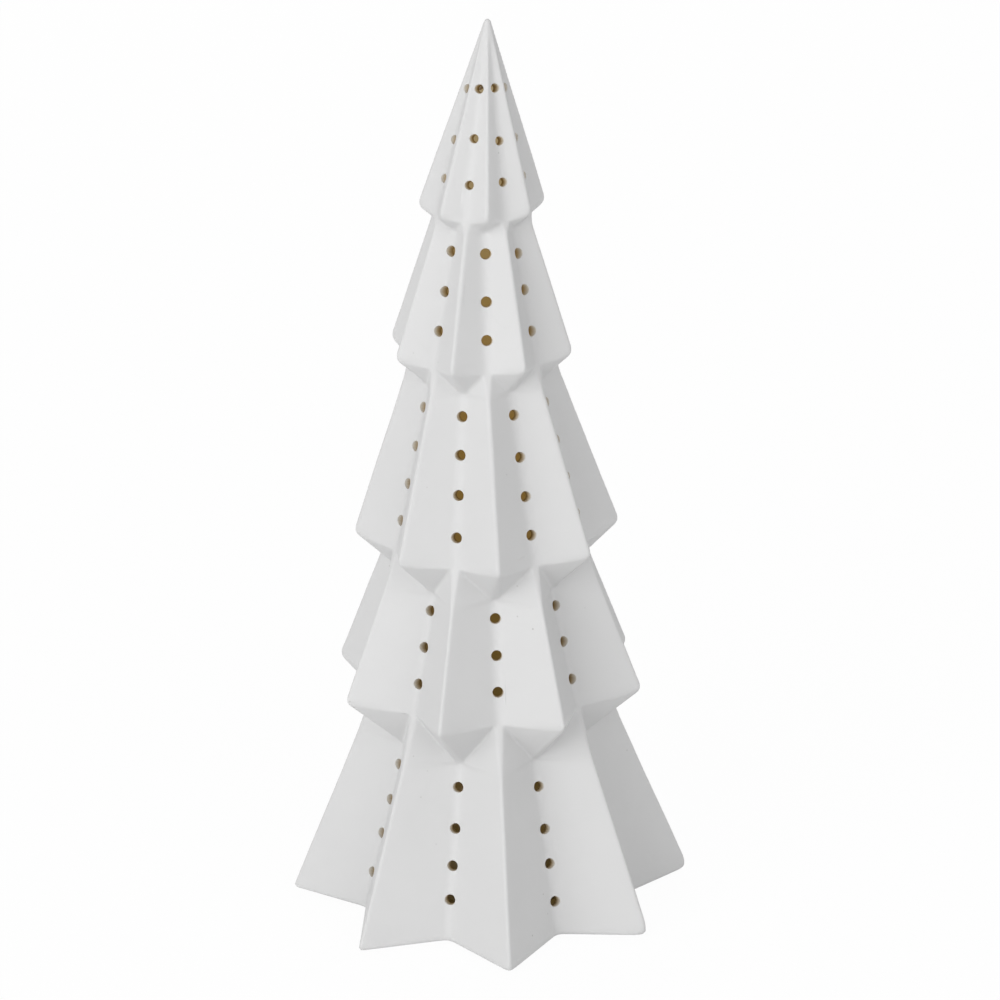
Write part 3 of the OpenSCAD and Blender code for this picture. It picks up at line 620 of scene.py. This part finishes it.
def hole_axis(k, row, column):
    """Where the middle of a hole meets its fold, the way out of it, and its diameter, in millimetres.

    Column 0 is the fold in front, or the one right of the front where a ridge stands there."""
    width = TOP_HOLE_D if k == 0 else HOLE_D
    neighbour = (column + STAR_POINTS + 1 if k % 2 == 0 else 2 * column + STAR_POINTS + 1) % NEIGHBOURS
    level = TIER_Z[k] + TIER_H[k] * (ROW_UP_SHARE[k] + row * ROW_PITCH_SHARE[k])
    level += width * WANDER_SHARES[k][row][neighbour]
    top, low = fold_top(k), fold_at(k)
    radius = at_level(top, low, level)[0]
    lean = atan2(low[0] - top[0], top[1] - low[1])
    angle = (2 * column + (k + 1) % 2) * HALF_STEP
    outward = Vector((sin(angle) * cos(lean), -cos(angle) * cos(lean), sin(lean)))
    return Vector((radius * sin(angle) + lean_at(level), -radius * cos(angle), level + PAD_T)), outward, width


def bore_radius(width, out):
    """A bore narrows inwards from where it meets the rounded fold."""
    return width / 2 + BORE_TAPER_SHARE * (out - FOLD_OUT)


def drill(place, outward, width):
    """The tool for one hole: from inside the wall to well outside."""
    deep = BORE_IN_SHARE * WALL_T
    radii = [bore_radius(width, out) * MM for out in (-deep, width)]
    return rod((place - deep * outward) * MM, (deep + width) * outward * MM, radii, HOLE_SIDES)


def cut(target, tool):
    """Cuts a tool out of the target and throws the tool away."""
    step = target.modifiers.new("cut", "BOOLEAN")
    step.operation, step.solver, step.object = "DIFFERENCE", "MANIFOLD", tool
    settle(target)
    bpy.data.objects.remove(tool)


def settle(target):
    """Applies all modifiers to the mesh."""
    graph = bpy.context.evaluated_depsgraph_get()
    graph.update()
    done = bpy.data.meshes.new_from_object(target.evaluated_get(graph))
    target.modifiers.clear()
    old = target.data
    target.data = done
    bpy.data.meshes.remove(old)


# Softening of the cast: size of a voxel, passes and strength of the smoothing, and triangles kept, then
# the size and height of the slow waves and of the small ripples that hand finishing leaves
VOXEL = 0.4
SMOOTH_PASSES = 12
SMOOTH_SHARE = 0.5
TRIANGLES_KEPT = 155000
WAVE_SIZE, WAVE_H = 26, 0.16
RIPPLE_SIZE, RIPPLE_H = 7, 0.035

# Points of the standing edge that handling has blunted: how far each is worn back, and the reach
# of the wear round the point and up its ridge
WORN_POINTS = {0: (1.3, 5, 5), 2: (2.4, 7, 6), 4: (1.7, 6, 5.5)}

# Marking: how far the faces of the base reach past its edges, how closely a bore's faces follow the
# drill, and how far they may turn from its axis, as the cosine
EDGE = 0.5
BORE_SLACK = 0.05
BORE_TURN = 0.35


def make_tree():
    """The cast: its skins and base, softened, then drilled two opposite columns at a time, so that no
    drills meet, and marked for its finish."""
    tree = skin_mesh("bisque_tree", TREE_H, outer_rings(), 0)
    outside = near(tree)
    hollow = skin_mesh("inner_skin", INNER_TIP, inner_rings(), INNER_FLOOR)
    inside = near(hollow)
    cut(tree, hollow)
    start = Vector((0, 0, PAD_T - OVER)) * MM
    for name, radius, height in (("recess", RECESS_R, RECESS_H + OVER),
                                 ("opening", OPENING_R, INNER_FLOOR + 2 * OVER)):
        tool = rod(start, Vector((0, 0, height)) * MM, [radius * MM] * 2, BASE_SIDES)
        cut(tree, join_rods(name, [tool]))
    soften(tree)
    half = STAR_POINTS // 2
    axes = [[hole_axis(k, row, column) for k in range(LAST_TIER + 1) for row in range(HOLE_ROWS[k])]
            for column in range(1 - half, 1 + half)]
    for front, back in zip(axes[:half], axes[half:]):
        cut(tree, join_rods("drills", [drill(*axis) for axis in front + back]))
    mark_zones(tree, outside, inside, sum(axes, []))
    return tree


def near(made):
    """A search tree over an object's faces, for distances to them."""
    return BVHTree.FromObject(made, bpy.context.evaluated_depsgraph_get())


def soften(tree):
    """Rounds every edge a little, as slip casting and sponging do, and waves the faces."""
    remesh = tree.modifiers.new("cast", "REMESH")
    remesh.mode, remesh.voxel_size, remesh.use_smooth_shade = "VOXEL", VOXEL * MM, True
    smooth = tree.modifiers.new("sponge", "SMOOTH")
    smooth.factor, smooth.iterations = SMOOTH_SHARE, SMOOTH_PASSES
    settle(tree)
    wear(tree)
    triangles = sum(len(face.vertices) - 2 for face in tree.data.polygons)
    if triangles > TRIANGLES_KEPT:
        thin = tree.modifiers.new("thin", "DECIMATE")
        thin.ratio = TRIANGLES_KEPT / triangles
        settle(tree)
    mesh = tree.data
    places, normals = read(mesh.vertices, "co", 3), read(mesh.vertices, "normal", 3)
    standing = places[:, 2] < (PAD_T + RECESS_H / 2) * MM
    heights = np.array([WAVE_H * noise.noise(Vector(p) / (WAVE_SIZE * MM))
                        + RIPPLE_H * noise.noise(Vector(p) / (RIPPLE_SIZE * MM)) for p in places])
    heights[standing] = 0
    places += normals * heights[:, None] * MM
    mesh.vertices.foreach_set("co", places.ravel())
    mesh.update()


def wear(tree):
    """Blunts some points of the standing edge."""
    places = read(tree.data.vertices, "co", 3) / MM
    up = places[:, 2] - PAD_T
    for number, (depth, reach, height) in WORN_POINTS.items():
        foot, top = spot(point_at(LAST_TIER), number), spot(ridge_top(LAST_TIER), number)
        ridge = foot + (up / (top - foot)[2])[:, None] * (top - foot)
        apart = np.linalg.norm((places - ridge)[:, :2], axis=1)
        share = np.clip(1 - apart / reach, 0, 1) ** 2 * np.clip(1 - up / height, 0, 1) ** 2
        out = np.array((foot[0], foot[1], 0)) / np.linalg.norm(foot[:2])
        places -= depth * share[:, None] * out
    tree.data.vertices.foreach_set("co", places.ravel() * MM)
    tree.data.update()


def mark_zones(tree, outside, inside, axes):
    """Marks each face as outside, bore or hollow, and each point with its depth, in millimetres.

    Creases are kept where the zones meet. The recess and the edge of the floor's opening are outside."""
    mesh = tree.data
    centres, normals = read(mesh.polygons, "center", 3) / MM, read(mesh.polygons, "normal", 3)
    low = centres[:, 2] - PAD_T < INNER_FLOOR - EDGE
    low &= np.hypot(centres[:, 0], centres[:, 1]) < RECESS_R + EDGE
    apart = np.array([inside.find_nearest(c * MM)[3] - outside.find_nearest(c * MM)[3] for c in centres])
    zones = np.where((apart < 0) & ~low, HOLLOW, OUTSIDE)
    for place, outward, width in axes:
        away, axis = centres - np.array(place), np.array(outward)
        out = away @ axis
        radius = np.linalg.norm(away - out[:, None] * axis, axis=1)
        zones[(abs(radius - bore_radius(width, out)) < BORE_SLACK) & (abs(out) < 2 * WALL_T)
              & (abs(normals @ axis) < BORE_TURN)] = BORE
    mesh.attributes.new("zone", "FLOAT", "FACE").data.foreach_set("value", zones.astype(float))
    depths = [outside.find_nearest(v.co)[3] / MM for v in mesh.vertices]
    mesh.attributes.new("depth_mm", "FLOAT", "POINT").data.foreach_set("value", depths)
    mesh.shade_smooth()
    edges = read(mesh.loops, "edge_index", 1).astype(int)
    owners = np.repeat(zones, read(mesh.polygons, "loop_total", 1).astype(int))
    least, most = np.full(len(mesh.edges), HOLLOW), np.full(len(mesh.edges), OUTSIDE)
    np.minimum.at(least, edges, owners)
    np.maximum.at(most, edges, owners)
    mesh.attributes.new("sharp_edge", "BOOLEAN", "EDGE").data.foreach_set("value", least != most)


def read(items, name, width):
    """One property of all vertices, faces or loops, as rows of numbers."""
    values = np.empty(len(items) * width)
    items.foreach_get(name, values)
    return values.reshape(-1, width) if width > 1 else values


# Soft and wound pieces, which take the places of their plain solids

def tube(points, radius, sides):
    """Vertices and faces of a closed tube along points, turned as little as possible on its way."""
    points = [Vector(p) for p in points]
    last = len(points) - 1
    verts, faces = [], []
    ahead = (points[1] - points[0]).normalized()
    across = ahead.orthogonal().normalized()
    for i, p in enumerate(points):
        ahead = (points[min(i + 1, last)] - points[max(i - 1, 0)]).normalized()
        across = (across - across.dot(ahead) * ahead).normalized()
        other = ahead.cross(across)
        for j in range(sides):
            angle = 2 * pi * j / sides
            verts.append(p + radius * (cos(angle) * across + sin(angle) * other))
    for i in range(last):
        for j in range(sides):
            a, b = i * sides + j, i * sides + (j + 1) % sides
            faces.append((a, b, b + sides, a + sides))
    faces += [tuple(range(sides - 1, -1, -1)), tuple(last * sides + j for j in range(sides))]
    return verts, faces


def smooth_route(route):
    """Points in metres on a smooth curve through a route given in millimetres."""
    route = [Vector(p) for p in route]
    route = [2 * route[0] - route[1]] + route + [2 * route[-1] - route[-2]]
    points = []
    for i in range(1, len(route) - 2):
        p0, p1, p2, p3 = route[i - 1:i + 3]
        for step in range(ROUTE_STEPS):
            t = step / ROUTE_STEPS
            points.append(0.5 * (2 * p1 + (p2 - p0) * t + (2 * p0 - 5 * p1 + 4 * p2 - p3) * t * t
                                 + (3 * p1 - p0 - 3 * p2 + p3) * t ** 3) * MM)
    return points + [route[-2] * MM]


def mirrored(route):
    """The other lead of a pair."""
    return [(-x, y, z) for x, y, z in route]


# Leads: radius and sides of the insulation, points from one place of a route to the next, and the
# routes, which are those of the wires in the CAD part
LEAD_R = 0.6
LEAD_SIDES = 14
ROUTE_STEPS = 5
RED_ROUTE = ((24.6, 11.4, 17.2), (23.2, 11.4, 17.8), (21, 11.8, 18.2), (18.6, 12, 18.5), (16.4, 11.2, 18.9),
             (14.6, 9.4, 19.4), (13, 7.6, 19.8), (11.2, 5.6, 20), (9.8, 4.4, 19.8), (9, 3.6, 19.1),
             (8.8, 3.4, 18.2))
BLACK_ROUTE = tuple((-x, -y, z) for x, y, z in RED_ROUTE)
SWITCH_ROUTE = ((1.2, 25, 9.1), (1.2, 25, 11), (1.2, 24.8, 13.2), (1.2, 24, 15.6), (1.2, 22.2, 17.8),
                (1.2, 19.6, 19.2), (1.2, 16.4, 19.8), (1.2, 12.8, 20), (1.2, 9.6, 19.8), (1.2, 8.1, 19.1),
                (1.2, 7.8, 18.2))
LAMP_ROUTE = ((0.9, 0, 18.2), (0.9, 0, 19.2), (0.9, 0.3, 20.2), (0.9, 0.5, 21), (0.9, 0.4, 21.8),
              (0.9, 0.1, 22.4), (0.9, 0, 22.9), (0.9, 0, 23.4))


def make_leads(name, routes, node, material):
    """Insulated wires along routes, as one piece."""
    made = join_rods(name, [tube(smooth_route(route), LEAD_R * MM, LEAD_SIDES) for route in routes])
    finish_piece(made, material, node, "light_module")


# Contact springs: radius and sides of the wire, turns and points in each, radii at the plate and at
# the cell, and the gap to the cell
WIRE_R = 0.3
WIRE_SIDES = 10
SPRING_TURNS = 4
SPRING_POINTS = 28
SPRING_RADII = (3.4, 2.2)
SPRING_CLEAR = 0.1


def make_springs(material):
    """Three conical coils: each fills its share of the box of the solids it stands for."""
    low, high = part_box("contact_springs")
    half_l = high.x / MM - WIRE_R
    middle_z = (low.z + high.z) / 2 / MM
    reach = half_l - (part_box("battery_1")[0].x / -MM + SPRING_CLEAR + WIRE_R)
    pitch = sum(corner.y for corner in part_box("battery_3")) / 2 / MM
    rods = []
    for side, y in ((-1, -pitch), (1, 0), (-1, pitch)):
        points = []
        for i in range(SPRING_TURNS * SPRING_POINTS + 1):
            share = i / (SPRING_TURNS * SPRING_POINTS)
            radius = SPRING_RADII[0] + (SPRING_RADII[1] - SPRING_RADII[0]) * share
            angle = 2 * pi * SPRING_TURNS * share
            points.append(Vector((side * (half_l - reach * share), y + radius * cos(angle),
                                  middle_z + radius * sin(angle))) * MM)
        rods.append(tube(points, WIRE_R * MM, WIRE_SIDES))
    springs = join_rods("conical_springs", rods)
    finish_piece(springs, material, "contact_springs", "light_module")


# Felt discs: diameter in millimetres, sides, the profile of their edge and how far their middles are
# pressed in, as shares of the radius and of the thickness, and how far and how finely the edge frays
FELT_D = 9
FELT_SIDES = 72
FELT_PROFILE_SHARES = ((0.5, 0.02), (0.9, 0), (0.975, 0.12), (1, 0.4), (0.995, 0.65), (0.97, 0.9), (0.9, 1),
                       (0.5, 0.98))
FELT_DISH_SHARE = 0.03
FELT_FRAY_SHARE = 0.025
FRAY_ROUND, FRAY_UP = 9, 3


def felt_disc(middle, thick, number):
    """Vertices and faces of one disc, in metres. Its number picks the way that it frays."""
    verts, faces = [middle + Vector((0, 0, FELT_DISH_SHARE * thick))], []
    for radius_share, height_share in FELT_PROFILE_SHARES:
        for j in range(FELT_SIDES):
            turn = 2 * pi * j / FELT_SIDES
            out = Vector((cos(turn), sin(turn), 0))
            thread = noise.noise(out * FRAY_ROUND + Vector((number, 0, height_share * FRAY_UP)))
            fray = 1 - FELT_FRAY_SHARE * (1 + thread)
            verts.append(middle + out * (FELT_D * MM / 2 * radius_share * fray)
                         + Vector((0, 0, height_share * thick)))
    verts.append(middle + Vector((0, 0, (1 - FELT_DISH_SHARE) * thick)))
    top = len(verts) - 1
    for j in range(FELT_SIDES):
        after = (j + 1) % FELT_SIDES
        faces += [(0, 1 + after, 1 + j), (top, top - FELT_SIDES + j, top - FELT_SIDES + after)]
        for first in range(1, top - FELT_SIDES, FELT_SIDES):
            a, b = first + j, first + after
            faces.append((a, b, b + FELT_SIDES, a + FELT_SIDES))
    return verts, faces


def make_felt(material):
    """Punched felt discs under the points of the foot, whose cut edges fray and swell a little."""
    low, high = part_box("felt_pads")
    ring_r = high.x - FELT_D * MM / 2
    discs = []
    for number in range(STAR_POINTS):
        angle = 2 * number * HALF_STEP
        middle = Vector((ring_r * sin(angle), -ring_r * cos(angle), low.z))
        discs.append(felt_disc(middle, high.z - low.z, number))
    finish_piece(join_rods("felt_discs", discs), material, "felt_pads", "tree")


def finish_piece(made, material, node, body):
    """Material, smooth shading, the node it stands for and the body it moves with."""
    made.data.materials.clear()
    made.data.materials.append(material)
    for face in made.data.polygons:
        face.use_smooth = True
    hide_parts(node)
    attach(made, body)


# Stage: the floor's radius in metres, how far it lies below the pads, in millimetres, the share of the
# foot's star under which it is a window that lets light from below through, and how much of its
# brightness to the camera is plain white
FLOOR_R = 4
FLOOR_DROP = 0.2
WINDOW_SHARE = 0.93
FLOOR_WHITE = 0.96
FLOOR_PAINT = (0.86, 0.86, 0.86, 1)
WHITE = (1, 1, 1, 1)


def floor_finish(name, is_window):
    """White where the camera looks down at it, and clear from below; a window is clear to light as well."""
    f = Finish(name, Roughness=0.8, Base_Color=FLOOR_PAINT)
    white = f.out(f.add("ShaderNodeEmission", {}, Color=WHITE, Strength=1))
    clear = f.out(f.add("ShaderNodeBsdfTransparent", {}))
    unseen = clear if is_window else f.out(f.shader)
    shown = f.out(f.add("ShaderNodeMixShader", {}, in0=f.seen() * FLOOR_WHITE, in1=unseen, in2=white))
    back = f.out(f.add("ShaderNodeNewGeometry", {}), "Backfacing")
    both = f.out(f.add("ShaderNodeMixShader", {}, in0=back, in1=shown, in2=clear))
    f.tree.links.new(both.output, f.end.inputs["Surface"])
    return f.material


def make_stage():
    """A wide pale floor that shows white and keeps the shadow, and lets views from below through.

    Under the tree it is a window, out of sight, so that the underside is lit in views from below."""
    corners = 2 * STAR_POINTS
    window, rim = [], []
    for number in range(corners):
        corner = (point_at, fold_at)[number % 2](LAST_TIER)
        x, y = spot(corner, number)[:2] * WINDOW_SHARE * MM
        out = FLOOR_R / hypot(x, y)
        window.append((x, y, -FLOOR_DROP * MM))
        rim.append((x * out, y * out, -FLOOR_DROP * MM))
    faces = [(j, corners + j, corners + (j + 1) % corners, (j + 1) % corners) for j in range(corners)]
    floor = new_object("floor", window + rim, faces + [tuple(range(corners))])
    floor.data.materials.append(floor_finish("floor_paint", False))
    floor.data.materials.append(floor_finish("floor_window", True))
    floor.data.polygons[corners].material_index = 1


# Light: strength of the even light all round, then for each lamp the azimuth from the front towards +X
# and the elevation in degrees, distance and width in metres, and power in watts
WORLD_LEVEL = 0.5
LAMPS = {"key_softbox": (-45, 22, 2.5, 2.2, 37), "right_fill": (30, 28, 2.5, 2, 15),
         "rear_fill": (180, 30, 2.5, 2, 14)}


def make_world():
    """Even white studio light, and plain white where the background shows past the floor."""
    world = bpy.data.worlds.new("studio")
    scene.world = world
    world.use_nodes = True
    w = Nodes(world.node_tree)
    even = w.out(w.add("ShaderNodeBackground", {}, Color=WHITE, Strength=WORLD_LEVEL))
    white = w.out(w.add("ShaderNodeBackground", {}, Color=WHITE, Strength=1))
    shown = w.out(w.add("ShaderNodeMixShader", {}, in0=w.seen(), in1=even, in2=white))
    w.add("ShaderNodeOutputWorld", {}, Surface=shown)


def make_lamps():
    """Round soft lamps, aimed at the middle of the tree."""
    aim = Vector((0, 0, TREE_H * MM / 2))
    for name, (azimuth, elevation, distance, width, power) in LAMPS.items():
        data = bpy.data.lights.new(name, "AREA")
        data.shape, data.size, data.energy = "DISK", width, power
        lamp = bpy.data.objects.new(name, data)
        scene.collection.objects.link(lamp)
        turn, rise = radians(azimuth), radians(elevation)
        away = Vector((sin(turn) * cos(rise), -cos(turn) * cos(rise), sin(rise)))
        lamp.matrix_world = Matrix.Translation(aim + distance * away) @ (
            away.to_track_quat("Z", "Y").to_matrix().to_4x4())


def dress(name, material):
    """Gives a CAD node one material all over."""
    mesh = nodes[name].data
    mesh.materials.clear()
    mesh.materials.append(material)


# Studio and cast
scene.view_settings.view_transform = "Standard"
place_camera()
make_world()
make_stage()
make_lamps()
finish_piece(make_tree(), bisque(), "ceramic_tree", "tree")

# Finishes that several pieces share, and the soft and wound pieces
white_plastic = moulded("white_plastic", colour(222, 222, 217), colour(232, 232, 228), 0.42, 900, 0.00008)
rubber = moulded("grip_rubber", colour(206, 205, 200), colour(214, 213, 208), 0.7, 600, 0.0001)
black_resin = moulded("black_resin", colour(34, 34, 36), colour(48, 48, 50), 0.5, 1000, 0.00005)
red_vinyl = moulded("red_vinyl", colour(176, 32, 28), colour(192, 44, 38), 0.4, 800, 0.00004)
black_vinyl = moulded("black_vinyl", colour(28, 28, 30), colour(40, 40, 42), 0.4, 800, 0.00004)
grey_vinyl = moulded("grey_vinyl", colour(150, 150, 150), colour(166, 166, 166), 0.4, 800, 0.00004)
zinc = plated("zinc_plate", colour(196, 198, 202), colour(214, 216, 218), 0.25)
nickel = plated("nickel_plate", colour(206, 202, 192), colour(222, 219, 210), 0.2)
make_felt(felt())
make_springs(nickel)
make_leads("red_lead", [RED_ROUTE], "battery_leads", red_vinyl)
make_leads("black_lead", [BLACK_ROUTE], "battery_leads", black_vinyl)
make_leads("switch_lead_pair", [SWITCH_ROUTE, mirrored(SWITCH_ROUTE)], "switch_leads", grey_vinyl)
make_leads("lamp_lead_pair", [LAMP_ROUTE, mirrored(LAMP_ROUTE)], "lamp_leads", grey_vinyl)

# Finishes of the CAD nodes that stay
sleeve, board = cell_sleeve(), solder_mask()
finishes = {
    "battery_housing": white_plastic, "housing_lid": white_plastic, "battery_door": white_plastic,
    "grip_ring": rubber, "lid_screws": zinc, "door_screw_left": zinc, "door_screw_right": zinc,
    "battery_1": sleeve, "battery_2": sleeve, "battery_3": sleeve,
    "negative_terminal": nickel, "positive_terminal": nickel,
    "bridge_contact_left": nickel, "bridge_contact_right": nickel,
    "circuit_board": board, "lamp_board": board, "board_parts": black_resin, "board_screws": zinc,
    "slide_switch": black_resin, "switch_knob": black_resin, "led_lamps": lamp_resin(),
    "diffuser_dome": frosted()}
for name, material in finishes.items():
    dress(name, material)
